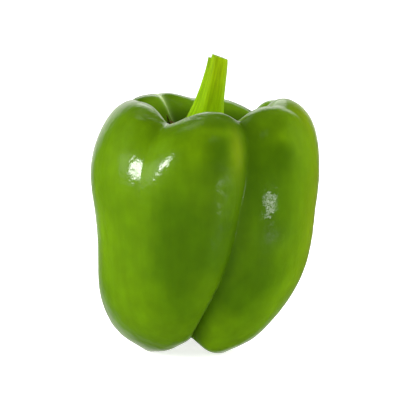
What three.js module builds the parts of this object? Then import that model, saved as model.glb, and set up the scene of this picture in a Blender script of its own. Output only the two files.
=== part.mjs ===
// A green bell pepper as picked: the fruit, and the stem with its calyx in the hollow on top.
// Millimetres, +Z up. The deep groove between the two big lobes faces the front, -Y.
import * as THREE from 'three';

const DEGREE = Math.PI / 180;

// The fruit's hull before it is folded, as control points of radius and height: from the middle of the
// hollow's floor, up over the rim, down the side and under to the blossom end.
const HULL = [
  [0, 81], [8, 80.8], [15.5, 81.5], [19.5, 88.5], [23.5, 95.2], [30, 96.6],
  [37.3, 91], [42.3, 80], [43.4, 66], [41.2, 52.5], [40.4, 39], [38.4, 25],
  [31.8, 11], [20, -0.9], [12, -1.2], [5.5, 4.8], [0, 7],
];
// The hull is a little flatter from front to back, and its axis drifts to the left near the tips.
const DEPTH_SHARE = 0.97;
const AXIS_DRIFT = [-7, -5.6, -3.4, -1, 0.1, -0.1, -0.2, 0.2, 0.8, 0.8];
const DRIFT_HEIGHT = 100;

// The grooves and folds between the lobes. An azimuth is in degrees from the front towards +X. A list
// holds values at even stations along the hull: floor centre, floor, inner rim, shoulder, upper side,
// side, foot, tip and blossom end. Reach is how far, in millimetres, a groove draws in its left and
// right side, crease how sharply it does so (less is sharper), and lean how far it slips sideways.
const FOLDS = {
  front: {
    azimuth: [23, 23, 23, 24.5, 22.5, 17, 12.5, 10, 9],
    depth: [0, 2.5, 5, 5, 4.5, 6.5, 9, 8.5, 0],
    reach: [[15, 14, 13, 14, 17, 18, 24, 26, 26], [17, 17, 17, 19, 23, 27, 27, 27, 27]],
    crease: [0.85, 0.85, 0.85, 0.9, 0.9, 0.75, 0.6, 0.55, 0.5],
    lean: [0, 0, 0, 0, 0, 1, 2.5, 2, 0], fillet: 1.2,
  },
  rightShoulder: {
    azimuth: [57, 57, 57, 66, 73, 70, 60, 56, 56],
    depth: [0, 1.5, 3, 0.2, 0, 0, 0, 0, 0],
    reach: [9, 11], crease: 1, lean: 0, fillet: 1.5,
  },
  rightBackShoulder: {
    azimuth: [103, 103, 103, 103, 101, 93, 84, 80, 80],
    depth: [0, 1.5, 5, 1.5, 0.4, 0, 0, 0, 0],
    reach: [12, 11], crease: 1, lean: 0, fillet: 1.5,
  },
  backRight: {
    azimuth: [140, 140, 140, 138, 130, 118, 108, 104, 104],
    depth: [0, 3, 7, 7, 6, 6.5, 8, 8, 0],
    reach: [20, 24], crease: [0.75, 0.75, 0.75, 0.75, 0.7, 0.7, 0.6, 0.6, 0.6],
    lean: 0, fillet: 0.8,
  },
  back: {
    azimuth: [213, 213, 218.5, 219, 211, 203, 197, 195, 195],
    depth: [0, 4, 5, -3.5, 2, 5, 8, 8, 0],
    reach: [18, [7, 7, 7, 12, 17, 17, 17, 17, 17]],
    crease: [0.9, 0.9, 0.9, 0.8, 0.8, 0.8, 0.6, 0.6, 0.6],
    lean: 0, fillet: 0.8,
  },
  left: {
    azimuth: [250, 250, 250, 251, 253, 255, 256, 256, 256],
    depth: [0, 3, 6.5, 1, 2.4, 4, 7, 7, 0],
    reach: [17, 14], crease: [0.9, 0.9, 0.9, 0.8, 0.8, 0.8, 0.7, 0.7, 0.7],
    lean: 0, fillet: 0.8,
  },
  leftShoulder: {
    azimuth: [332, 332, 332, 332, 324, 324, 324, 324, 324],
    depth: [0, 2, 9.5, 4.5, 1, 0, 0, 0, 0],
    reach: [20, 20], crease: 1, lean: 0, fillet: 1.5,
  },
};
const CREASE_ROUND = 2.3;
const REACH_RADIUS = 30;
const REACH_SCALE = [0.55, 1.1];

// Where the skin stands higher or lower than the hull: on the rim, on the shoulders below it, and on the
// feet of the lobes. The azimuth and its spread are in degrees, the place along the hull and its stretch
// are shares of it.
const RIM = { place: 0.3, stretch: 0.1 };
const RIM_TOP = { place: 0.31, stretch: 0.03 };
const SHOULDER = { place: 0.42, stretch: 0.07 };
const FOOT = { place: 0.79, stretch: 0.08 };
const LEFT_FOOT = { place: 0.8, stretch: 0.08 };
const FOOT_EDGE = { place: 0.815, stretch: 0.035 };
const RIGHT_FOOT_EDGE = { place: 0.82, stretch: 0.035 };
const TIP = { place: 0.85, stretch: 0.04 };
const BACK_TIP = { place: 0.875, stretch: 0.025 };
const RESTING_SPOT = { place: 0.86, stretch: 0.025 };
const LIFTS = [
  { ...RIM, azimuth: 2, spread: 36, height: -2.8 },
  { ...RIM_TOP, azimuth: 4, spread: 30, height: 0.6 },
  { ...RIM, azimuth: 50, spread: 22, height: -0.8 },
  { ...RIM, azimuth: 150, spread: 26, height: -2.4 },
  { ...RIM, azimuth: 188, spread: 18, height: -2.2 },
  { ...RIM, azimuth: 212, spread: 14, height: 1.1 },
  { ...RIM, azimuth: 248, spread: 15, height: 1.9 },
  { ...RIM, azimuth: 276, spread: 30, height: -1 },
  { ...SHOULDER, azimuth: 276, spread: 34, height: -1.2 },
  { ...SHOULDER, azimuth: 80, spread: 30, height: 1.2 },
  { ...FOOT, azimuth: 348, spread: 34, height: 2 },
  { ...LEFT_FOOT, azimuth: 322, spread: 30, height: 2 },
  { ...FOOT_EDGE, azimuth: 280, spread: 22, height: 1.4 },
  { ...TIP, azimuth: 354, spread: 18, height: 1.6 },
  { ...RIGHT_FOOT_EDGE, azimuth: 64, spread: 22, height: 1.5 },
  { ...BACK_TIP, azimuth: 171, spread: 25, height: 0.8 },
  { ...RESTING_SPOT, azimuth: 288, spread: 12, height: -0.5 },
  { ...RESTING_SPOT, azimuth: 62, spread: 12, height: -0.5 },
];

// Where the skin bulges out from the hull: on the front shoulder, on the right front lobe's side and on
// the left lobe's slope towards the stem.
const SWELLINGS = [
  { place: 0.43, stretch: 0.05, azimuth: 352, spread: 22, height: 1.4 },
  { place: 0.583, stretch: 0.03, azimuth: 41, spread: 14, height: 1 },
  { place: 0.37, stretch: 0.02, azimuth: 321, spread: 12, height: 0.85 },
];

// Stem and calyx: control points of radius, height and sideways place, from the calyx's margin up to
// the cut end. The first heights follow the hollow's floor instead.
const STEM_SIDE = [
  [13.2, 82, 0], [11.8, 83.2, 0], [9.4, 84.8, -0.5], [7.5, 87, -0.4], [6.4, 90, 0.3], [5.4, 94.5, 1.5],
  [4.7, 99.5, 2.7], [4.2, 104.5, 3.8], [3.8, 108.5, 4.5], [3.6, 111.1, 4.7],
];
const RIBS = 6;
const RIB_AZIMUTH = -75;
const RIB_SHARE = 0.04;

// The calyx's margin is a place along the hull. Each tooth below a rib, round from the one at the left,
// has its length along the hull and its curl upwards. A tooth's length and, faster, its curl fall off as
// a power of the rib's own height, and the curl grows as a power of the way out to the margin.
const CALYX_MARGIN = 0.108;
const TOOTH_LENGTH = [0.022, 0.016, 0.022, 0.018, 0.024, 0.018];
const TOOTH_CURL = [5.6, 0.6, 1.4, 0.8, 1.6, 1];
const TOOTH_POINT = 1.6;
const TOOTH_CURL_POINT = 2.5;
const CURL_BEND = 2;
const CALYX_EDGE = 1.1;
const CALYX_SHARE = 0.3;

// The cut end: its slope, how deep it is dished, and the step where the left side broke off lower.
const CUT_SLOPE = -0.36;
const CUT_DISH = 0.4;
const CUT_STEP = 1.6;
const CUT_STEP_PLACE = [0.55, 0.72];

// The room between the calyx and the hollow's floor.
const GAP = 0.35;

// How finely the meshes are cut up: columns from each fold to the next, and rows.
const COLUMNS = {
  front: 8, rightShoulder: 8, rightBackShoulder: 7, backRight: 13, back: 8, left: 13, leftShoulder: 10,
};
const COLUMN_CROWDING = 0.5;
const FRUIT_ROWS = 46;
const UNDERSIDE_ROWS = 5;
const STEM_ROWS = 14;

const FRUIT_GREEN = 0x5a8c0c;
const STEM_GREEN = 0x8cb914;

// A uniform cubic B-spline that starts and ends on its end points, t from 0 to 1.
function curve(points, t) {
  const last = points.length - 1;
  const place = Math.min(Math.max(t, 0), 1) * last;
  const i = Math.min(Math.floor(place), last - 1);
  const f = place - i;
  const before = i > 0 ? points[i - 1] : 2 * points[0] - points[1];
  const after = i < last - 1 ? points[i + 2] : 2 * points[last] - points[last - 1];
  const weights = [(1 - f) ** 3, 3 * f ** 3 - 6 * f ** 2 + 4, -3 * f ** 3 + 3 * f ** 2 + 3 * f + 1, f ** 3];
  return (weights[0] * before + weights[1] * points[i] + weights[2] * points[i + 1] + weights[3] * after) / 6;
}

const along = (value, t) => (Array.isArray(value) ? curve(value, t) : value);
const clamp = (value, low, high) => Math.min(Math.max(value, low), high);
const smooth = (low, high, value) => THREE.MathUtils.smoothstep(value, low, high);

// The turn from one azimuth to another, between minus and plus half a turn.
function turn(from, to) {
  const whole = 2 * Math.PI;
  return ((to - from + 3 * Math.PI) % whole + whole) % whole - Math.PI;
}

const hullRadii = HULL.map(([radius]) => radius);
const hullHeights = HULL.map(([, height]) => height);

// What one fold does at a point: how deep it draws the skin in, and how far aside.
function foldAt(fold, azimuth, t, radius) {
  const off = turn(along(fold.azimuth, t) * DEGREE, azimuth) * Math.max(radius, 3);
  const distance = Math.hypot(off, fold.fillet) - fold.fillet;
  const reach = along(fold.reach[off < 0 ? 0 : 1], t) * clamp(radius / REACH_RADIUS, ...REACH_SCALE);
  const near = 1 - clamp(distance / reach, 0, 1);
  const pull = 1 - (1 - near ** CREASE_ROUND) ** along(fold.crease, t);
  return { depth: along(fold.depth, t) * pull, aside: -along(fold.lean, t) * pull ** 1.5 };
}

// How high a list's bumps stand at a point, all together.
function bumpHeight(bumps, azimuth, t) {
  let total = 0;
  for (const bump of bumps) {
    const round = turn(bump.azimuth * DEGREE, azimuth) / (bump.spread * DEGREE);
    const down = (t - bump.place) / bump.stretch;
    total += bump.height * Math.exp(-(round ** 2) - down ** 2);
  }
  return total;
}

// A point of the fruit's skin.
function fruitPoint(azimuth, t) {
  const step = 1e-4;
  const radius = curve(hullRadii, t);
  const height = curve(hullHeights, t);
  const across = curve(hullRadii, t + step) - curve(hullRadii, t - step);
  const rise = curve(hullHeights, t + step) - curve(hullHeights, t - step);
  const length = Math.hypot(across, rise);
  let depth = 0;
  let aside = 0;
  for (const fold of Object.values(FOLDS)) {
    const effect = foldAt(fold, azimuth, t, radius);
    depth += effect.depth;
    aside += effect.aside;
  }
  depth -= bumpHeight(SWELLINGS, azimuth, t);
  const r = Math.max(radius + (rise / length) * depth, 0);
  const z = Math.max(height - (across / length) * depth + bumpHeight(LIFTS, azimuth, t), 0);
  const axis = curve(AXIS_DRIFT, z / DRIFT_HEIGHT);
  return new THREE.Vector3(
    axis + r * Math.sin(azimuth) + aside * Math.cos(azimuth),
    -r * Math.cos(azimuth) * DEPTH_SHARE + aside * Math.sin(azimuth),
    z,
  );
}

// Each column of a mesh runs down between two neighbouring folds, so the folds keep crisp lines.
const foldNames = Object.keys(FOLDS);
const columns = foldNames.flatMap((name, k) => Array.from({ length: COLUMNS[name] }, (_, i) => {
  const share = i / COLUMNS[name];
  const crowded = (1 - Math.cos(Math.PI * share)) / 2;
  const next = foldNames[(k + 1) % foldNames.length];
  return { from: FOLDS[name], to: FOLDS[next], share: share + COLUMN_CROWDING * (crowded - share) };
}));

function columnAzimuth(column, t) {
  const from = along(column.from.azimuth, t) * DEGREE;
  const to = along(column.to.azimuth, t) * DEGREE;
  const wide = (to - from + 2 * Math.PI) % (2 * Math.PI);
  return from + column.share * wide;
}

// A closed mesh from rows of points round an axis, with one point at each end.
// Seen from outside, each row runs to the right and the rows run down.
function closedMesh(start, rows, end) {
  const across = rows[0].length;
  const points = [start, ...rows.flat(), end];
  const index = [];
  const at = (row, i) => 1 + row * across + (i % across);
  for (let i = 0; i < across; i += 1) {
    index.push(0, at(0, i), at(0, i + 1));
    for (let row = 0; row < rows.length - 1; row += 1) {
      index.push(at(row, i), at(row + 1, i), at(row + 1, i + 1));
      index.push(at(row, i), at(row + 1, i + 1), at(row, i + 1));
    }
    index.push(at(rows.length - 1, i), points.length - 1, at(rows.length - 1, i + 1));
  }
  const geometry = new THREE.BufferGeometry().setFromPoints(points);
  geometry.setIndex(index);
  return geometry;
}

function fruitGeometry() {
  const rows = [];
  for (let row = 1; row < FRUIT_ROWS; row += 1) {
    const t = row / FRUIT_ROWS;
    rows.push(columns.map((column) => fruitPoint(columnAzimuth(column, t), t)));
  }
  return closedMesh(fruitPoint(0, 0), rows, fruitPoint(0, 1));
}

// From 1 on a rib of the stem to -1 halfway between two.
const ribAt = (azimuth) => Math.cos(RIBS * (azimuth - RIB_AZIMUTH * DEGREE));

// One of the calyx teeth's sizes, full on the tooth's rib and nothing halfway to the next.
function toothAt(azimuth, sizes, point) {
  const tooth = Math.round(((azimuth - RIB_AZIMUTH * DEGREE) * RIBS) / (2 * Math.PI));
  return sizes[((tooth % RIBS) + RIBS) % RIBS] * ((1 + ribAt(azimuth)) / 2) ** point;
}

// The calyx's margin, as a place along the hull: long and pointed below each rib.
const marginAt = (azimuth) => CALYX_MARGIN + toothAt(azimuth, TOOTH_LENGTH, TOOTH_POINT);

// How far the calyx curls up at a part of the way from its middle to its margin.
const curlAt = (azimuth, part) => toothAt(azimuth, TOOTH_CURL, TOOTH_CURL_POINT) * part ** CURL_BEND;

const stemRadii = STEM_SIDE.map(([radius]) => radius);
const stemHeights = STEM_SIDE.map(([, height]) => height);
const stemPlaces = STEM_SIDE.map(([, , place]) => place);

// A point of the calyx's upper face or the stem's side, s from the margin to the cut end.
function stemPoint(column, s) {
  const foot = columnAzimuth(column, CALYX_MARGIN);
  const margin = marginAt(foot);
  const azimuth = columnAzimuth(column, margin * (1 - smooth(0, 1, s)));
  const floor = fruitPoint(azimuth, margin * (1 - s));
  const rise = smooth(0, CALYX_SHARE, s);
  const radius = curve(stemRadii, s) * (1 + RIB_SHARE * ribAt(azimuth) * rise);
  const aside = Math.sin(azimuth);
  const cut = CUT_SLOPE * radius * aside - CUT_STEP * smooth(...CUT_STEP_PLACE, -aside);
  const height = curve(stemHeights, s) + cut * smooth(0.8, 1, s);
  const side = new THREE.Vector3(curve(stemPlaces, s) + radius * aside, -radius * Math.cos(azimuth), 0);
  const point = fruitPoint(azimuth, margin).lerp(side, rise);
  return point.setZ(Math.max(height, floor.z + GAP + CALYX_EDGE + curlAt(foot, 1 - s)));
}

function stemGeometry() {
  const rows = [];
  for (let row = STEM_ROWS; row >= 0; row -= 1) {
    rows.push(columns.map((column) => stemPoint(column, row / STEM_ROWS)));
  }
  for (let row = UNDERSIDE_ROWS; row > 0; row -= 1) {
    rows.push(columns.map((column) => {
      const foot = columnAzimuth(column, CALYX_MARGIN);
      const part = row / UNDERSIDE_ROWS;
      const t = marginAt(foot) * part;
      const point = fruitPoint(columnAzimuth(column, t), t);
      return point.setZ(point.z + GAP + curlAt(foot, part));
    }));
  }
  const top = new THREE.Vector3();
  rows[0].forEach((point) => top.addScaledVector(point, 1 / rows[0].length));
  top.z -= CUT_DISH;
  const base = fruitPoint(0, 0).add(new THREE.Vector3(0, 0, GAP));
  return closedMesh(top, rows, base);
}

const fruit = new THREE.Mesh(
  fruitGeometry(),
  new THREE.MeshStandardMaterial({ color: FRUIT_GREEN, roughness: 0.22, metalness: 0 }),
);
fruit.name = 'fruit';

const stem = new THREE.Mesh(
  stemGeometry(),
  new THREE.MeshStandardMaterial({ color: STEM_GREEN, roughness: 0.6, metalness: 0 }),
);
stem.name = 'stem_calyx';

// The origin lies on the surface that the pepper stands on, below the middle of its box.
const pepper = new THREE.Group();
pepper.add(fruit, stem);
const middle = new THREE.Box3().setFromObject(pepper).getCenter(new THREE.Vector3());
pepper.position.set(-middle.x, -middle.y, 0);

export default pepper;
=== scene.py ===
"""A green bell pepper as picked, dressed on its CAD frame and set on a pale studio floor."""
from math import cos, pi, radians, sin

import bmesh
import bpy
import numpy as np
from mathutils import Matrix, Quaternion, Vector, noise


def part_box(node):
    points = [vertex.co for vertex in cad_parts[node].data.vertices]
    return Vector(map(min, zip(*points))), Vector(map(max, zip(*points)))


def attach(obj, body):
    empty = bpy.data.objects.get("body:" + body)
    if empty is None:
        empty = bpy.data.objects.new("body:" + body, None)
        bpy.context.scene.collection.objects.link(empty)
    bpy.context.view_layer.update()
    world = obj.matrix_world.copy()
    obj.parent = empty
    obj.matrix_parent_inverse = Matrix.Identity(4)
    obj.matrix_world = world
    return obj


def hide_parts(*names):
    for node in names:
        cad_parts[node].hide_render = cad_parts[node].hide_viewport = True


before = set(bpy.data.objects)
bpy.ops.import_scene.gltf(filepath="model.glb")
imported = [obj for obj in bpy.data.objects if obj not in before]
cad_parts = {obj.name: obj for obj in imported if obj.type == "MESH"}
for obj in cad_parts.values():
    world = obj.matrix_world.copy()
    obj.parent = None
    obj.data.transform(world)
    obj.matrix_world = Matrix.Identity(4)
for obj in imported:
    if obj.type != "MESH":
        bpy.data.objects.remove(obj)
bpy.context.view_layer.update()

# One millimetre in the frame's metres.
MM = 0.001


# The pepper's form, by the same rules and values as its solids, in millimetres and degrees. An azimuth
# counts from the front towards +X. A place along the hull is a share of the way along it.

# The fruit's hull before it is folded, as radius and height: from the middle of the hollow's floor, up
# over the rim, down the side and under to the blossom end.
HULL = [
    (0, 81), (8, 80.8), (15.5, 81.5), (19.5, 88.5), (23.5, 95.2), (30, 96.6),
    (37.3, 91), (42.3, 80), (43.4, 66), (41.2, 52.5), (40.4, 39), (38.4, 25),
    (31.8, 11), (20, -0.9), (12, -1.2), (5.5, 4.8), (0, 7),
]

# How far to both sides of a place the hull's direction there is measured.
HULL_STEP = 1e-4

# The hull is a little flatter from front to back, and its axis drifts to the left near the tips.
DEPTH_SHARE = 0.97
AXIS_DRIFT = [-7, -5.6, -3.4, -1, 0.1, -0.1, -0.2, 0.2, 0.8, 0.8]
DRIFT_HEIGHT = 100

# The grooves and folds between the lobes. A list holds values at even stations along the hull: floor
# centre, floor, inner rim, shoulder, upper side, side, foot, tip and blossom end. Reach is how far a
# groove draws in its left and right side, crease how sharply it does so (less is sharper), and lean how
# far it slips sideways.
FOLDS = {
    "front": {
        "azimuth": [23, 23, 23, 24.5, 22.5, 17, 12.5, 10, 9],
        "depth": [0, 2.5, 5, 5, 4.5, 6.5, 9, 8.5, 0],
        "reach": ([15, 14, 13, 14, 17, 18, 24, 26, 26], [17, 17, 17, 19, 23, 27, 27, 27, 27]),
        "crease": [0.85, 0.85, 0.85, 0.9, 0.9, 0.75, 0.6, 0.55, 0.5],
        "lean": [0, 0, 0, 0, 0, 1, 2.5, 2, 0], "fillet": 1.2,
    },
    "right_shoulder": {
        "azimuth": [57, 57, 57, 66, 73, 70, 60, 56, 56],
        "depth": [0, 1.5, 3, 0.2, 0, 0, 0, 0, 0],
        "reach": (9, 11), "crease": 1, "lean": 0, "fillet": 1.5,
    },
    "right_back_shoulder": {
        "azimuth": [103, 103, 103, 103, 101, 93, 84, 80, 80],
        "depth": [0, 1.5, 5, 1.5, 0.4, 0, 0, 0, 0],
        "reach": (12, 11), "crease": 1, "lean": 0, "fillet": 1.5,
    },
    "back_right": {
        "azimuth": [140, 140, 140, 138, 130, 118, 108, 104, 104],
        "depth": [0, 3, 7, 7, 6, 6.5, 8, 8, 0],
        "reach": (20, 24), "crease": [0.75, 0.75, 0.75, 0.75, 0.7, 0.7, 0.6, 0.6, 0.6],
        "lean": 0, "fillet": 0.8,
    },
    "back": {
        "azimuth": [213, 213, 218.5, 219, 211, 203, 197, 195, 195],
        "depth": [0, 4, 5, -3.5, 2, 5, 8, 8, 0],
        "reach": (18, [7, 7, 7, 12, 17, 17, 17, 17, 17]),
        "crease": [0.9, 0.9, 0.9, 0.8, 0.8, 0.8, 0.6, 0.6, 0.6],
        "lean": 0, "fillet": 0.8,
    },
    "left": {
        "azimuth": [250, 250, 250, 251, 253, 255, 256, 256, 256],
        "depth": [0, 3, 6.5, 1, 2.4, 4, 7, 7, 0],
        "reach": (17, 14), "crease": [0.9, 0.9, 0.9, 0.8, 0.8, 0.8, 0.7, 0.7, 0.7],
        "lean": 0, "fillet": 0.8,
    },
    "left_shoulder": {
        "azimuth": [332, 332, 332, 332, 324, 324, 324, 324, 324],
        "depth": [0, 2, 9.5, 4.5, 1, 0, 0, 0, 0],
        "reach": (20, 20), "crease": 1, "lean": 0, "fillet": 1.5,
    },
}

# The form of a groove from its line to its reach, how its lean grows with its depth, and the hull's
# radius where a reach is as given, with the shares that it shrinks and grows to elsewhere.
CREASE_ROUND = 2.3
LEAN_BEND = 1.5
REACH_RADIUS = 30
REACH_SCALE = (0.55, 1.1)

# Near the hull's ends a fold's sideways distances are measured as on this radius, so that it doesn't pinch.
LEAST_RADIUS = 3

# How many columns of the coarse solid run from each fold to the next.
COLUMNS = {
    "front": 8, "right_shoulder": 8, "right_back_shoulder": 7, "back_right": 13, "back": 8, "left": 13,
    "left_shoulder": 10,
}

# Where the skin stands higher or lower than the hull: on the rim, on the shoulders below it, and on the
# feet of the lobes. Each row has azimuth and spread, height, place along the hull and stretch.
LIFTS = [
    (2, 36, -2.8, 0.3, 0.1),
    (4, 30, 0.6, 0.31, 0.03),
    (50, 22, -0.8, 0.3, 0.1),
    (150, 26, -2.4, 0.3, 0.1),
    (188, 18, -2.2, 0.3, 0.1),
    (212, 14, 1.1, 0.3, 0.1),
    (248, 15, 1.9, 0.3, 0.1),
    (276, 30, -1, 0.3, 0.1),
    (276, 34, -1.2, 0.42, 0.07),
    (80, 30, 1.2, 0.42, 0.07),
    (348, 34, 2, 0.79, 0.08),
    (322, 30, 2, 0.8, 0.08),
    (280, 22, 1.4, 0.815, 0.035),
    (354, 18, 1.6, 0.85, 0.04),
    (64, 22, 1.5, 0.82, 0.035),
    (171, 25, 0.8, 0.875, 0.025),
    (288, 12, -0.5, 0.86, 0.025),
    (62, 12, -0.5, 0.86, 0.025),
]

# Stem and calyx, as radius, height and sideways place from the calyx's margin to the cut end. The first
# heights follow the hollow's floor instead.
STEM_SIDE = [
    (13.2, 82, 0), (11.8, 83.2, 0), (9.4, 84.8, -0.5), (7.5, 87, -0.4), (6.4, 90, 0.3), (5.4, 94.5, 1.5),
    (4.7, 99.5, 2.7), (4.2, 104.5, 3.8), (3.8, 108.5, 4.5), (3.6, 111.1, 4.7),
]
RIBS = 6
RIB_AZIMUTH = -75
RIB_SHARE = 0.04

# The calyx's margin is a place along the hull. Each tooth below a rib, round from the one at the left,
# has its length along the hull and its curl upwards. A tooth's length and, faster, its curl fall off as
# a power of the rib's own height, and the curl grows as a power of the way out to the margin.
CALYX_MARGIN = 0.108
TOOTH_LENGTH = [0.022, 0.016, 0.022, 0.018, 0.024, 0.018]
TOOTH_CURL = [5.6, 0.6, 1.4, 0.8, 1.6, 1]
TOOTH_POINT = 1.6
TOOTH_CURL_POINT = 2.5
CURL_BEND = 2
CALYX_EDGE = 1.1
CALYX_SHARE = 0.3

# The cut end: where up the stem it starts to shape it, its slope, how deep it is dished, and the step
# where the left side broke off lower.
CUT_START = 0.8
CUT_SLOPE = -0.36
CUT_DISH = 0.4
CUT_STEP = 1.6
CUT_STEP_PLACE = (0.55, 0.72)

# The room between the calyx and the hollow's floor.
GAP = 0.35


def curve(points, t):
    """A uniform cubic B-spline that starts and ends on its end points, t from 0 to 1."""
    p = np.asarray(points, float)
    p = np.concatenate([[2 * p[0] - p[1]], p, [2 * p[-1] - p[-2]]])
    spans = len(p) - 3
    place = np.clip(t, 0, 1) * spans
    i = np.minimum(place.astype(int), spans - 1)
    f = place - i
    weights = [(1 - f) ** 3, 3 * f**3 - 6 * f**2 + 4, -3 * f**3 + 3 * f**2 + 3 * f + 1, f**3]
    return sum(weight * p[i + k] for k, weight in enumerate(weights)) / 6


def along(value, t):
    """A fold's value at a place along the hull: a list varies, a number stays."""
    if isinstance(value, list):
        return curve(value, t)
    return value


def smooth(low, high, value):
    """0 below low, 1 above high, and an even way from one to the other between them."""
    share = np.clip((value - low) / (high - low), 0, 1)
    return share * share * (3 - 2 * share)


def turn(start, end):
    """The turn from one azimuth to another, between minus and plus half a turn."""
    return (end - start + 3 * pi) % (2 * pi) - pi


def spot(azimuth, t, place, spread, station, stretch):
    """1 at a place on the skin, falling to 0 round it: its azimuth and spread, its station along the
    hull and its stretch there."""
    away = (turn(radians(place), azimuth) / radians(spread)) ** 2 + ((t - station) / stretch) ** 2
    return np.exp(-away)


def hull(t):
    """Radius, height and outward direction of the hull."""
    radii = [radius for radius, height in HULL]
    heights = [height for radius, height in HULL]
    across = curve(radii, t + HULL_STEP) - curve(radii, t - HULL_STEP)
    rise = curve(heights, t + HULL_STEP) - curve(heights, t - HULL_STEP)
    length = np.hypot(across, rise)
    return curve(radii, t), curve(heights, t), -rise / length, across / length


def fruit_points(azimuth, t, relief=0):
    """Points of the fruit's skin, as an array of x, y and z; relief stands out from it."""
    radius, height, out, up = hull(t)
    depth = 0
    aside = 0
    for fold in FOLDS.values():
        off = turn(np.radians(along(fold["azimuth"], t)), azimuth) * np.maximum(radius, LEAST_RADIUS)
        distance = np.hypot(off, fold["fillet"]) - fold["fillet"]
        left, right = fold["reach"]
        reach = np.where(off < 0, along(left, t), along(right, t))
        reach = reach * np.clip(radius / REACH_RADIUS, *REACH_SCALE)
        near = 1 - np.clip(distance / reach, 0, 1)
        pull = 1 - (1 - near**CREASE_ROUND) ** along(fold["crease"], t)
        depth = depth + along(fold["depth"], t) * pull
        aside = aside - along(fold["lean"], t) * pull**LEAN_BEND
    lift = 0
    for place, spread, rise, station, stretch in LIFTS:
        lift = lift + rise * spot(azimuth, t, place, spread, station, stretch)
    r = np.maximum(radius - out * (depth - relief), 0)
    z = np.maximum(height - up * (depth - relief) + lift, 0)
    axis = curve(AXIS_DRIFT, z / DRIFT_HEIGHT)
    x = axis + r * np.sin(azimuth) + aside * np.cos(azimuth)
    y = -r * np.cos(azimuth) * DEPTH_SHARE + aside * np.sin(azimuth)
    return np.stack([x, y, z], axis=-1)


def column_azimuth(share, t):
    """The azimuth of a column, share of the way round. Columns keep between the same two folds, and are
    halfway between evenly spread and crowded towards them."""
    counts = np.array(list(COLUMNS.values()))
    starts = np.concatenate([[0], np.cumsum(counts)])
    column = (share % 1) * starts[-1]
    k = np.searchsorted(starts, column, side="right") - 1
    part = (column - starts[k]) / counts[k]
    crowded = (1 - np.cos(pi * part)) / 2
    part = (part + crowded) / 2
    lines = np.stack([np.radians(curve(FOLDS[name]["azimuth"], t)) for name in COLUMNS])
    every = np.arange(len(share))
    start = lines[k, every]
    wide = (lines[(k + 1) % len(FOLDS), every] - start) % (2 * pi)
    return start + part * wide


def rib_at(azimuth):
    """1 on a rib of the stem, -1 halfway between two."""
    return np.cos(RIBS * (azimuth - radians(RIB_AZIMUTH)))


def tooth_at(azimuth, sizes, point):
    """One of the calyx teeth's sizes, full on the tooth's rib and nothing halfway to the next."""
    tooth = np.round((azimuth - radians(RIB_AZIMUTH)) * RIBS / (2 * pi)).astype(int) % RIBS
    return np.array(sizes)[tooth] * ((1 + rib_at(azimuth)) / 2) ** point


def margin_at(azimuth):
    """The calyx's margin as a place along the hull: long and pointed below each rib."""
    return CALYX_MARGIN + tooth_at(azimuth, TOOTH_LENGTH, TOOTH_POINT)


def curl_at(azimuth, part):
    """How far the calyx curls up at part of the way from its middle to its margin."""
    return tooth_at(azimuth, TOOTH_CURL, TOOTH_CURL_POINT) * part**CURL_BEND


def calyx_foot(share):
    """The azimuth of the calyx's columns, share of the way round."""
    return column_azimuth(share, np.full_like(share, CALYX_MARGIN))


def calyx_underside(share, part):
    """The face of the calyx that lies on the hollow's floor, part from its middle to its margin."""
    foot = calyx_foot(share)
    t = margin_at(foot) * part
    points = fruit_points(column_azimuth(share, t), t)
    points[:, 2] += GAP + curl_at(foot, part)
    return points


def stem_side(share, s):
    """The calyx's upper face and the stem's side, s from the margin to the cut end."""
    foot = calyx_foot(share)
    margin = margin_at(foot)
    azimuth = column_azimuth(share, margin * (1 - smooth(0, 1, s)))
    floor = fruit_points(azimuth, margin * (1 - s))
    rise = smooth(0, CALYX_SHARE, s)
    radius, height, sideways = [curve(values, s) for values in zip(*STEM_SIDE)]
    radius = radius * (1 + RIB_SHARE * rib_at(azimuth) * rise)
    x = sideways + radius * np.sin(azimuth)
    y = -radius * np.cos(azimuth)
    cut = CUT_SLOPE * radius * np.sin(azimuth) - CUT_STEP * smooth(*CUT_STEP_PLACE, -np.sin(azimuth))
    z = height + cut * smooth(CUT_START, 1, s)
    z = np.maximum(z, floor[:, 2] + GAP + CALYX_EDGE + curl_at(foot, 1 - s))
    cap = fruit_points(azimuth, margin)
    x = cap[:, 0] + (x - cap[:, 0]) * rise
    y = cap[:, 1] + (y - cap[:, 1]) * rise
    return np.stack([x, y, z], axis=-1)


# Pieces

# Points of a sheet's edges closer than this, in millimetres, are one point once it is wrapped round.
WELD = 0.003

# How far apart two noises are, in their own waves, so that they share no shape.
NOISE_SHIFT = Vector((17.3, 5.1, 9.7))


def rough(points, size, seed):
    """Smooth noise at each point, about -1 to 1, whose waves are size millimetres long."""
    shift = seed * NOISE_SHIFT
    return np.array([noise.noise(Vector(point) / size + shift) for point in points.tolist()])


def sheet_start(around, down):
    """A flat sheet of even columns and rows, and each point's share of the way across and down it."""
    bm = bmesh.new()
    bmesh.ops.create_grid(bm, x_segments=around, y_segments=down, size=0.5)
    place = np.array([vert.co[:2] for vert in bm.verts]) + 0.5
    return bm, np.round(place[:, 0] * around) / around, np.round(place[:, 1] * down) / down


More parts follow.
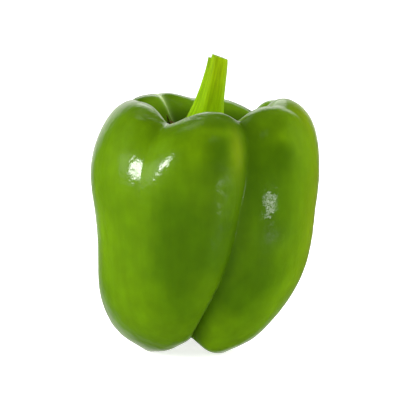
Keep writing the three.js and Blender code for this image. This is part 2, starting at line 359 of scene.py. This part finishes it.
def finish_piece(name, bm, points, values, materials):
    """Wraps a sheet round to its points, in millimetres, closes it and makes it an object with its
    values at each point."""
    for key, column in values.items():
        layers = bm.verts.layers.float if column.ndim == 1 else bm.verts.layers.float_vector
        layer = layers.new(key)
        for vert, value in zip(bm.verts, column.tolist()):
            vert[layer] = value
    for vert, point in zip(bm.verts, points.tolist()):
        vert.co = Vector(point) * MM
    bmesh.ops.remove_doubles(bm, verts=bm.verts, dist=WELD * MM)
    bmesh.ops.recalc_face_normals(bm, faces=bm.faces)
    for face in bm.faces:
        face.smooth = True
    mesh = bpy.data.meshes.new(name)
    bm.to_mesh(mesh)
    bm.free()
    for material in materials:
        mesh.materials.append(material)
    piece = bpy.data.objects.new(name, mesh)
    bpy.context.collection.objects.link(piece)
    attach(piece, "root")
    return piece


# The fruit's fine mesh: its columns and rows.
FRUIT_AROUND = 335
FRUIT_DOWN = 260

# The skin's slight waves, as length and height, and where along the hull they start, off the hidden floor.
WAVES = [(24, 0.22), (8, 0.06), (2.6, 0.07)]
WAVES_START = (0.13, 0.2)

# Small swellings of the skin: azimuth and spread, place and stretch along the hull, height.
SWELLINGS = [
    (352, 22, 0.43, 0.05, 1.4), (41, 14, 0.583, 0.03, 1), (8, 2.5, 0.695, 0.008, 0.3),
    (321, 12, 0.37, 0.02, 0.85),
]

# The puckered flank of the big lobe beside the front groove: azimuth and spread, place and stretch, and
# the size and height of its bumps.
PUCKER_PLACE = (13, 9, 0.52, 0.14)
PUCKER_SIZE = 4
PUCKER_HEIGHT = 0.5

# The scar that the blossom left: a low nub with a ring round it, as place, stretch and height, and where
# its dry skin starts and is full.
SCAR_NUB = (1, 0.007, 0.9)
SCAR_RING = (0.978, 0.006, 0.35)
SCAR_START = (0.962, 0.985)

# Where along the hull the hollow's own green ends, and where a band of painted light, a lighter green, lies
# on its steep wall.
HOLLOW_END = (0.15, 0.25)
PAINTED_WALL_LIGHT_PLACE = 0.235
PAINTED_WALL_LIGHT_STRETCH = 0.04

# How wide the painted shade of a groove is, a darker green in the skin, in millimetres, at even stations
# along the hull, and how deep a groove has to be for the full of it.
SHADE_WIDTH = [5, 5, 5, 5, 5, 4, 2.6, 2.4, 2.4]
SHADE_DEPTH = 9
SHADED_FOLDS = ("front", "back_right", "back", "left")

# A painted highlight: a pale line in the skin along the ridge that runs down into the hollow beside the back
# fold: how many degrees beside the fold it lies and reaches, and its place and stretch along the hull.
RIDGE_HIGHLIGHT_ASIDE = 4.5
RIDGE_HIGHLIGHT_SPREAD = 4
RIDGE_HIGHLIGHT_PLACE = 0.25
RIDGE_HIGHLIGHT_STRETCH = 0.07

# Duller skin below the highlight on the right lobe: azimuth and spread, place and stretch.
DULL_PLACE = (40, 12, 0.585, 0.024)

# Yellower flesh, partly the fruit's own riper tint and partly painted light: azimuth and spread, place and
# stretch, strength.
RIPE_TINT_AND_PAINTED_LIGHT_PLACES = [(84, 18, 0.55, 0.14, 0.6), (80, 14, 0.37, 0.05, 0.5), (16, 4, 0.43, 0.05, 0.4)]

# Painted light and shade: patches of lighter or darker flesh, some of them thin pale arcs of painted
# reflection: azimuth and spread, place and stretch, strength.
PAINTED_LIGHT_AND_SHADE_PATCHES = [
    (347, 13, 0.57, 0.1, -0.7), (6, 12, 0.6, 0.07, -0.4), (19, 4, 0.5, 0.1, 0.4),
    (34, 9, 0.52, 0.16, -0.4), (312, 22, 0.64, 0.16, 0.2), (72, 20, 0.56, 0.16, 0.7),
    (6, 11, 0.393, 0.014, 0.7), (355, 4, 0.425, 0.03, 0.6), (15, 3, 0.43, 0.03, 0.5),
    (6, 6, 0.437, 0.03, -0.5), (48, 9, 0.411, 0.012, 0.7), (54, 4, 0.43, 0.03, 0.5),
    (43, 7, 0.445, 0.03, -0.5), (24, 7, 0.69, 0.03, -0.8), (36, 12, 0.7, 0.07, -0.4),
]


def groove_shade(azimuth, t):
    """How deep a point lies in one of the grooves, from 0 to 1, for the painted shade there: a darker green
    in the skin.
    """
    radius = hull(t)[0]
    deep = 0
    for name in SHADED_FOLDS:
        fold = FOLDS[name]
        off = turn(np.radians(along(fold["azimuth"], t)), azimuth) * radius
        shade = np.exp(-(off / curve(SHADE_WIDTH, t)) ** 2)
        deep = deep + along(fold["depth"], t) / SHADE_DEPTH * shade
    return np.clip(deep, 0, 1)


def band(t, place, stretch):
    """1 at a place along the hull, falling to 0 before and after it."""
    return np.exp(-((t - place) / stretch) ** 2)


def painted_ridge_highlight(azimuth, t):
    """1 along the painted highlight on the ridge beside the back fold, falling to 0 round it."""
    line = np.radians(curve(FOLDS["back"]["azimuth"], t) + RIDGE_HIGHLIGHT_ASIDE)
    beside = np.exp(-(turn(line, azimuth) / radians(RIDGE_HIGHLIGHT_SPREAD)) ** 2)
    return beside * band(t, RIDGE_HIGHLIGHT_PLACE, RIDGE_HIGHLIGHT_STRETCH)


def skin_relief(azimuth, t, points):
    """How far the skin's waves, swellings, puckers and scar stand out from the fruit's form."""
    relief = sum(height * rough(points, size, seed) for seed, (size, height) in enumerate(WAVES))
    for *place, height in SWELLINGS:
        relief = relief + height * spot(azimuth, t, *place)
    puckers = rough(points, PUCKER_SIZE, len(WAVES)) * spot(azimuth, t, *PUCKER_PLACE)
    relief = (relief + PUCKER_HEIGHT * puckers) * smooth(*WAVES_START, t)
    for place, stretch, height in (SCAR_NUB, SCAR_RING):
        relief = relief + height * band(t, place, stretch)
    return relief


def make_fruit(material):
    """The fruit's skin, and how far it is shifted to stand where the frame's fruit does: with the same
    middle, on the same floor."""
    bm, share, t = sheet_start(FRUIT_AROUND, FRUIT_DOWN)
    azimuth = column_azimuth(share, t)
    points = fruit_points(azimuth, t, skin_relief(azimuth, t, fruit_points(azimuth, t)))
    box = np.array(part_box("fruit")) / MM
    middle = (points.min(axis=0) + points.max(axis=0)) / 2
    shift = (box[0] + box[1]) / 2 - middle
    shift[2] = 0
    values = {
        # Painted light and shade in patches.
        "painted_light_and_shade_patch": sum(strength * spot(azimuth, t, *place) for *place, strength in PAINTED_LIGHT_AND_SHADE_PATCHES),
        # A yellower tint, partly the fruit's own and partly painted light.
        "ripe_tint_and_painted_light": sum(strength * spot(azimuth, t, *place) for *place, strength in RIPE_TINT_AND_PAINTED_LIGHT_PLACES),
        # Painted shade: a darker green in the grooves.
        "groove": groove_shade(azimuth, t),
        "hollow": 1 - smooth(*HOLLOW_END, t),
        # Painted light: a lighter green on the hollow's steep wall.
        "painted_wall_light": band(t, PAINTED_WALL_LIGHT_PLACE, PAINTED_WALL_LIGHT_STRETCH),
        # A painted highlight: a pale line along the ridge.
        "painted_ridge_highlight": painted_ridge_highlight(azimuth, t),
        "scar": smooth(*SCAR_START, t),
        "dull": np.maximum(spot(azimuth, t, *PUCKER_PLACE), spot(azimuth, t, *DULL_PLACE)),
    }
    fruit = finish_piece("pepper_fruit", bm, points + shift, values, [material])
    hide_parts("fruit")
    return shift


# The stem's fine mesh: its columns and rows, and where the rows of the cut end stop and, further down,
# those of the side, before the calyx's underside.
STEM_AROUND = 201
STEM_DOWN = 90
CAP_END = 0.1
SIDE_END = 0.8

# A calyx tooth that curls up higher than this, in millimetres, starts to dry, and is dry by the second.
DRY_CURL = (1.2, 3)

# The stem's side that is painted lighter, standing in for light from +X, as how far its bark lies towards
# +X: where it starts and is full.
PAINTED_LIGHT_SIDE_START = (-0.95, 0.15)


def make_stem(shift, bark, pith):
    """The stem with its ribs, its cut end and the calyx below it."""
    bm, share, way = sheet_start(STEM_AROUND, STEM_DOWN)
    s = np.clip((SIDE_END - way) / (SIDE_END - CAP_END), 0, 1)
    points = stem_side(share, s)
    under = way > SIDE_END
    part = np.clip((1 - way) / (1 - SIDE_END), 0, 1)
    points[under] = calyx_underside(share, part)[under]
    rim = stem_side(share, np.ones_like(share))
    centre = rim.mean(axis=0) - [0, 0, CUT_DISH]
    outward = np.clip(way / CAP_END, 0, 1)
    cap = way < CAP_END
    points[cap] = (centre + (rim - centre) * outward[:, None])[cap]
    angle = 2 * pi * share
    foot = calyx_foot(share)
    values = {
        "grain": np.stack([np.cos(angle), np.sin(angle), s], axis=-1),
        "inward": 1 - outward,
        # Painted light: the bark is lighter towards +X.
        "painted_light_side": smooth(*PAINTED_LIGHT_SIDE_START, np.sin(foot)),
        "dry": smooth(*DRY_CURL, curl_at(foot, np.where(under, part, 1 - s))),
    }
    bm.faces.ensure_lookup_table()
    for face in bm.faces:
        face.material_index = int(max(way[vert.index] for vert in face.verts) <= CAP_END)
    stem = finish_piece("pepper_stem", bm, points + shift, values, [bark, pith])
    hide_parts("stem_calyx")


# Materials

# Sizes of the skin's own patterns, in millimetres: the broad patches of its flesh, the mottles and
# streaks in them, and the pores that break its highlights, drawn coarser than real ones so that they show.
PATCH_SIZE = 38
MOTTLE_SIZE = 7
STREAK_SIZE = 4
PORE_SIZE = 1.6

# The stem's fibres: how wide they are in the bark and in the cut end, and the stalk's radius, in
# millimetres.
FIBRE_SIZE = 0.5
PITH_SIZE = 0.7
STALK_RADIUS = 4.5


def linear(hex_colour):
    """An sRGB hex colour as the linear colour that the shaders take."""
    channels = [int(hex_colour[i:i + 2], 16) / 255 for i in (1, 3, 5)]
    dark_end = 0.04045
    colour = [c / 12.92 if c <= dark_end else ((c + 0.055) / 1.055) ** 2.4 for c in channels]
    return (*colour, 1.0)


def per_mm(size):
    """A texture's scale on Object coordinates, for waves of so many millimetres."""
    return 1 / (size * MM)


def add(tree, kind, inputs=None, **settings):
    """Adds a node, with its settings, and its inputs as values or as links from other nodes. A Mix
    node's factor and two colours are its inputs 0, 6 and 7, and the mixed colour is its output 2."""
    new = tree.nodes.new(kind)
    for name, value in settings.items():
        setattr(new, name, value)
    for name, value in (inputs or {}).items():
        if isinstance(value, bpy.types.NodeSocket):
            tree.links.new(value, new.inputs[name])
        else:
            new.inputs[name].default_value = value
    return new


def start_material(name):
    """An empty material, its node tree and its output."""
    material = bpy.data.materials.new(name)
    material.use_nodes = True
    tree = material.node_tree
    tree.nodes.clear()
    return material, tree, tree.nodes.new("ShaderNodeOutputMaterial")


def layered(tree, colour, layers):
    """A colour with layers mixed into it one after the other, each given as how it is mixed, its share
    and its own colour."""
    for mode, share, layer in layers:
        mix = add(tree, "ShaderNodeMix", {0: share, 6: colour, 7: layer}, data_type="RGBA", blend_type=mode)
        colour = mix.outputs[2]
    return colour


def waxy_pepper_skin():
    """Ripe green bell pepper skin: a smooth cuticle of wax over green flesh. The wax gives clear, bright
    reflections, the flesh a soft deep green that varies from yellow green to bottle green. Its colour also
    holds painted shade in the grooves, painted light on the hollow's wall, a painted highlight on the ridge
    and patches of painted light and shade."""
    material, tree, output = start_material("waxy_green_pepper_skin")
    place = add(tree, "ShaderNodeTexCoord").outputs["Object"]
    own = {}
    for name in ("painted_light_and_shade_patch", "ripe_tint_and_painted_light", "groove", "hollow", "painted_wall_light", "painted_ridge_highlight", "scar", "dull"):
        own[name] = add(tree, "ShaderNodeAttribute", attribute_name=name).outputs["Fac"]

    patches = add(tree, "ShaderNodeTexNoise", {"Vector": place, "Scale": per_mm(PATCH_SIZE), "Detail": 4.0})
    even = add(tree, "ShaderNodeMapRange", {
        "Value": patches.outputs["Fac"], "From Min": 0.3, "From Max": 0.7,
    })
    # The patches' painted light and shade are added to the flesh's random tone.
    tone = add(tree, "ShaderNodeMath", {0: even.outputs["Result"], 1: own["painted_light_and_shade_patch"]}, use_clamp=True)
    lengthwise = add(tree, "ShaderNodeMapping", {"Vector": place, "Scale": (1, 1, 0.15)}).outputs[0]
    streaks = add(tree, "ShaderNodeTexNoise", {
        "Vector": lengthwise, "Scale": per_mm(STREAK_SIZE), "Detail": 3.0,
    })
    streak = add(tree, "ShaderNodeMapRange", {
        "Value": streaks.outputs["Fac"], "To Min": 0.82, "To Max": 1.18,
    })
    mottles = add(tree, "ShaderNodeTexNoise", {"Vector": place, "Scale": per_mm(MOTTLE_SIZE), "Detail": 5.0})
    mottle = add(tree, "ShaderNodeMapRange", {"Value": mottles.outputs["Fac"], "To Min": 0.8, "To Max": 1.2})
    shade = add(tree, "ShaderNodeMapRange", {"Value": own["groove"], "To Max": 0.7})
    flesh = layered(tree, linear("#3A5900"), [
        ("MIX", tone.outputs[0], linear("#537400")),
        ("MIX", own["hollow"], linear("#446000")),
        ("MULTIPLY", 1.0, streak.outputs["Result"]),
        ("MULTIPLY", 1.0, mottle.outputs["Result"]),
        # Painted shade: a darker green in the grooves.
        ("MIX", shade.outputs["Result"], linear("#244300")),
        # Painted light: a lighter green on the hollow's steep wall.
        ("MIX", own["painted_wall_light"], linear("#5C8008")),
        ("MIX", own["scar"], linear("#8A7A3C")),
        # A painted highlight: a pale line along the ridge.
        ("MIX", own["painted_ridge_highlight"], linear("#C0D694")),
        # A yellower tint, partly the fruit's own and partly painted light.
        ("MIX", own["ripe_tint_and_painted_light"], linear("#748400")),
    ])

    wax = add(tree, "ShaderNodeMapRange", {"Value": own["dull"], "To Min": 0.6, "To Max": 0.2})
    haze = add(tree, "ShaderNodeMapRange", {"Value": own["dull"], "To Min": 0.06, "To Max": 0.3})
    pores = add(tree, "ShaderNodeTexNoise", {"Vector": place, "Scale": per_mm(PORE_SIZE), "Detail": 3.0})
    bump = add(tree, "ShaderNodeBump", {
        "Height": pores.outputs["Fac"], "Strength": 0.6, "Distance": 0.14 * MM,
    }).outputs[0]
    skin = add(tree, "ShaderNodeBsdfPrincipled", {
        "Base Color": flesh, "Roughness": 0.3, "IOR": 1.4, "Specular IOR Level": 0.05, "Normal": bump,
        "Subsurface Weight": 0.1, "Subsurface Radius": (0.5, 1.0, 0.1), "Subsurface Scale": 3 * MM,
        "Coat Weight": wax.outputs["Result"], "Coat Roughness": haze.outputs["Result"],
        "Coat IOR": 1.4, "Coat Normal": bump,
        "Sheen Weight": 0.09, "Sheen Roughness": 0.3, "Sheen Tint": linear("#E4F59A"),
    })
    tree.links.new(skin.outputs[0], output.inputs[0])
    return material


def ribbed_stem_bark():
    """The stalk's live green bark: satin, yellow green, with fibres that run along it. It is painted lighter
    on its +X side, standing in for light from that side, is lighter towards the calyx, and is brown where a
    tooth has dried."""
    material, tree, output = start_material("ribbed_green_stem_bark")
    grain = add(tree, "ShaderNodeAttribute", attribute_name="grain").outputs["Vector"]
    painted_light_side = add(tree, "ShaderNodeAttribute", attribute_name="painted_light_side").outputs["Fac"]
    dry = add(tree, "ShaderNodeAttribute", attribute_name="dry").outputs["Fac"]
    lengthwise = add(tree, "ShaderNodeMapping", {"Vector": grain, "Scale": (1, 1, 0.5)}).outputs[0]
    fibres = add(tree, "ShaderNodeTexNoise", {
        "Vector": lengthwise, "Scale": STALK_RADIUS / FIBRE_SIZE, "Detail": 4.0,
    }).outputs["Fac"]
    tone = add(tree, "ShaderNodeMapRange", {"Value": fibres, "From Min": 0.3, "From Max": 0.7})
    strand = add(tree, "ShaderNodeMapRange", {
        "Value": fibres, "From Min": 0.35, "From Max": 0.65, "To Min": 0.8, "To Max": 1.1,
    })
    height = add(tree, "ShaderNodeSeparateXYZ", {0: grain}).outputs["Z"]
    base = add(tree, "ShaderNodeMapRange", {"Value": height, "From Min": 0.8, "From Max": 0.35})
    green = layered(tree, linear("#608200"), [
        ("MIX", tone.outputs["Result"], linear("#749400")),
        # Painted light: lighter on the stem's +X side.
        ("MIX", painted_light_side, linear("#809C00")),
        ("MIX", base.outputs["Result"], linear("#8EBE00")),
        ("MULTIPLY", 1.0, strand.outputs["Result"]),
        ("MIX", dry, linear("#54431A")),
    ])
    bump = add(tree, "ShaderNodeBump", {"Height": fibres, "Strength": 0.5, "Distance": 0.3 * MM})
    bark = add(tree, "ShaderNodeBsdfPrincipled", {
        "Base Color": green, "Roughness": 0.5, "Specular IOR Level": 0.03, "Normal": bump.outputs[0],
        "Subsurface Weight": 0.1, "Subsurface Radius": (0.5, 1.0, 0.1), "Subsurface Scale": 2 * MM,
    })
    tree.links.new(bark.outputs[0], output.inputs[0])
    return material


def cut_stem_pith():
    """The cut end: pale, dry, fibrous pith inside a darker green ring."""
    material, tree, output = start_material("cut_stem_pith")
    inward = add(tree, "ShaderNodeAttribute", attribute_name="inward").outputs["Fac"]
    place = add(tree, "ShaderNodeTexCoord").outputs["Object"]
    fibres = add(tree, "ShaderNodeTexNoise", {
        "Vector": place, "Scale": per_mm(PITH_SIZE), "Detail": 3.0,
    }).outputs["Fac"]
    ring = add(tree, "ShaderNodeMapRange", {"Value": inward, "From Max": 0.35})
    green = layered(tree, linear("#6E9A12"), [
        ("MIX", ring.outputs["Result"], linear("#B9C47A")),
        ("MIX", fibres, linear("#5C7A1C")),
    ])
    bump = add(tree, "ShaderNodeBump", {"Height": fibres, "Strength": 0.8, "Distance": 0.4 * MM})
    pith = add(tree, "ShaderNodeBsdfPrincipled", {
        "Base Color": green, "Roughness": 0.8, "Normal": bump.outputs[0],
    })
    tree.links.new(pith.outputs[0], output.inputs[0])
    return material


def pale_light_table():
    """The floor: a matt white sheet that is lit a little from below."""
    material, tree, output = start_material("pale_light_table")
    card = add(tree, "ShaderNodeBsdfDiffuse", {"Color": linear("#E6E6E4")})
    glow = add(tree, "ShaderNodeEmission", {"Strength": 0.75})
    both = add(tree, "ShaderNodeAddShader", {0: card.outputs[0], 1: glow.outputs[0]})
    tree.links.new(both.outputs[0], output.inputs[0])
    return material


# Studio, in millimetres and degrees

# The camera, as the photograph's: a long lens a little above the pepper, aimed between the two ends.
LENS = 150
CAMERA_DISTANCE = 628
CAMERA_ELEVATION = 8
AIM = (-2, 0, 57)

FLOOR_RADIUS = 14000
FLOOR_SIDES = 128

# How high the middle is that all lights face, and how bright the white round the pepper is.
LIGHT_CENTRE = 60
BACKDROP_WHITE = 1.08


def make_floor():
    """A wide round floor under the pepper, which its reflections don't show."""
    bm = bmesh.new()
    bmesh.ops.create_circle(bm, cap_ends=True, segments=FLOOR_SIDES, radius=FLOOR_RADIUS * MM)
    mesh = bpy.data.meshes.new("floor")
    bm.to_mesh(mesh)
    bm.free()
    mesh.materials.append(pale_light_table())
    floor = bpy.data.objects.new("floor", mesh)
    floor.visible_glossy = False
    floor.visible_shadow = False
    bpy.context.collection.objects.link(floor)


def make_camera(shift):
    """The photograph's view."""
    data = bpy.data.cameras.new("camera")
    data.lens = LENS
    data.clip_end = 2 * FLOOR_RADIUS * MM
    camera = bpy.data.objects.new("camera", data)
    bpy.context.collection.objects.link(camera)
    angle = radians(CAMERA_ELEVATION)
    aim = Vector(AIM) + Vector(shift)
    camera.location = (aim + CAMERA_DISTANCE * Vector((0, -cos(angle), sin(angle)))) * MM
    camera.rotation_euler = (pi / 2 - angle, 0, 0)
    bpy.context.scene.camera = camera


def softbox(name, azimuth, elevation, distance, size, radiance, flat=0.7, roll=0, unseen=()):
    """A rectangular light that faces the pepper's middle. It is even over a flat share of its width and
    fades to its edges. Unseen lists the rays that miss it."""
    data = bpy.data.lights.new(name, "AREA")
    data.shape = "RECTANGLE"
    data.size = size[0] * MM
    data.size_y = size[1] * MM
    data.energy = radiance * pi * data.size * data.size_y
    data.use_nodes = True
    tree = data.node_tree
    place = add(tree, "ShaderNodeNewGeometry").outputs["Parametric"]
    offset = add(tree, "ShaderNodeVectorMath", {0: place, 1: (0.5, 0.5, 0)}, operation="SUBTRACT")
    away = add(tree, "ShaderNodeVectorMath", {0: offset.outputs[0]}, operation="LENGTH").outputs["Value"]
    fade = add(tree, "ShaderNodeMapRange", {"Value": away, "From Min": 0.5, "From Max": 0.5 * flat},
               interpolation_type="SMOOTHSTEP")
    tree.links.new(fade.outputs["Result"], tree.nodes["Emission"].inputs["Strength"])
    light = bpy.data.objects.new(name, data)
    bpy.context.collection.objects.link(light)
    for ray in unseen:
        setattr(light, "visible_" + ray, False)
    around, above = radians(azimuth), radians(elevation)
    out = Vector((sin(around) * cos(above), -cos(around) * cos(above), sin(above)))
    light.location = (Vector((0, 0, LIGHT_CENTRE)) + out * distance) * MM
    facing = out.to_track_quat("Z", "Y") @ Quaternion((0, 0, 1), radians(roll))
    light.rotation_euler = facing.to_euler()


def make_lights():
    """Even white light from all round that the pepper's reflections don't show, and the studio lights:
    lamps for the bright spots, soft boxes for the pale bands, and white walls."""
    # A bright lamp and its soft surround on the left shoulder, and the mottled patch on the right lobe.
    softbox("left_lamp", -58, 10, 700, (310, 180), 50, flat=0.3, roll=40, unseen=["diffuse"])
    softbox("left_box", -72, 8, 900, (620, 420), 1.8, flat=0.4, unseen=["diffuse"])
    softbox("right_lamp", 44, -17, 900, (540, 80), 18, flat=0.3)
    # The bands along the crests, on the slopes above them, and along the foot.
    softbox("top_box", 180, 44, 800, (560, 620), 2.6, flat=0.5)
    softbox("top_left", 236, 68, 700, (380, 380), 1.2, flat=0.2)
    softbox("front_top", 30, 50, 900, (300, 260), 0.5)
    softbox("low_back", 194, -33, 1200, (1900, 1250), 0.75, flat=0.3, unseen=["diffuse", "camera"])
    # The side walls only light the pepper, and the back one shows only in its reflections.
    softbox("left_wall", -90, 10, 1200, (1200, 1500), 6.5, unseen=["glossy"])
    softbox("right_wall", 105, 10, 1200, (1200, 1500), 3.8, unseen=["glossy"])
    softbox("back_wall", 184, 15, 1500, (2350, 2200), 0.95, flat=0.5, unseen=["diffuse", "camera"])
    world = bpy.data.worlds.new("studio")
    world.use_nodes = True
    background = world.node_tree.nodes["Background"]
    background.inputs["Color"].default_value = (1, 1, 1, 1)
    background.inputs["Strength"].default_value = BACKDROP_WHITE
    bpy.context.scene.world = world
    world.cycles_visibility.glossy = False
    bpy.context.scene.view_settings.view_transform = "Standard"


shift = make_fruit(waxy_pepper_skin())
make_stem(shift, ribbed_stem_bark(), cut_stem_pith())
make_floor()
make_camera(shift)
make_lights()
